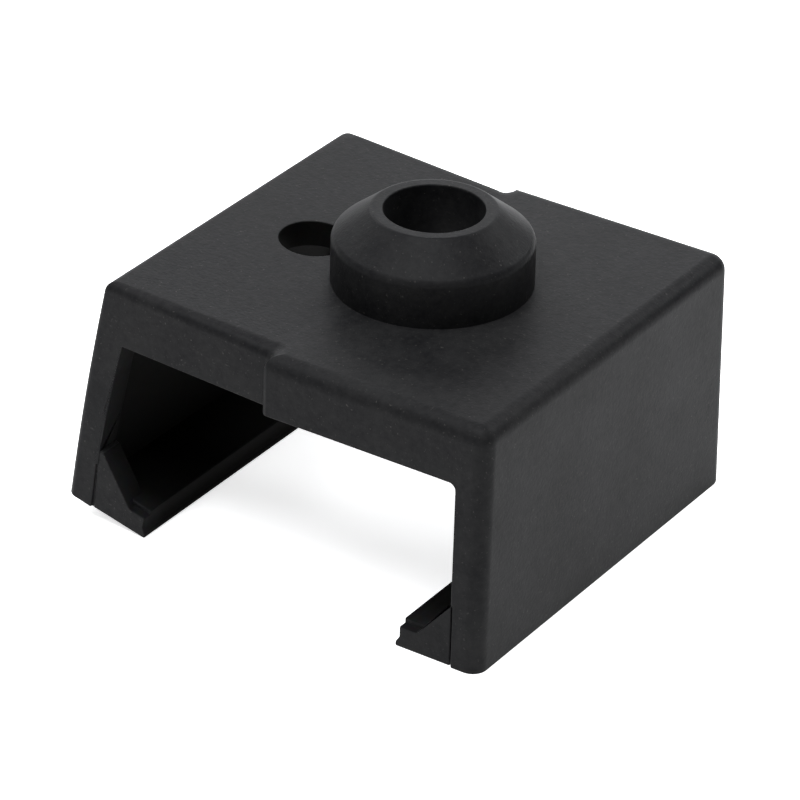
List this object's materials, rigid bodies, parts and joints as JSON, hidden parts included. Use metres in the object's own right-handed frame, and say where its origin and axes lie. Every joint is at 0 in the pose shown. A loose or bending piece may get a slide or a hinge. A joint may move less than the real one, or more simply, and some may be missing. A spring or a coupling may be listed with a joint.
{
  "type": "heater block silicone sock",
  "caption": "Moulded silicone cover for a 3D printer heater block, with a bored nozzle boss, open window walls and inward gripping lips.",
  "frame": {"origin": "on the nozzle bore's axis, at the inner face that seats on the heater block", "axes": "+Z leaves through the nozzle boss, +X runs towards the upright end wall, Y runs between the two window walls"},
  "size_m": [0.0275, 0.0252, 0.0188],
  "materials": {
    "black_silicone": "matte"
  },
  "bodies": {
    "root": {"silicone_sock": "black_silicone"}
  },
  "joints": []
}
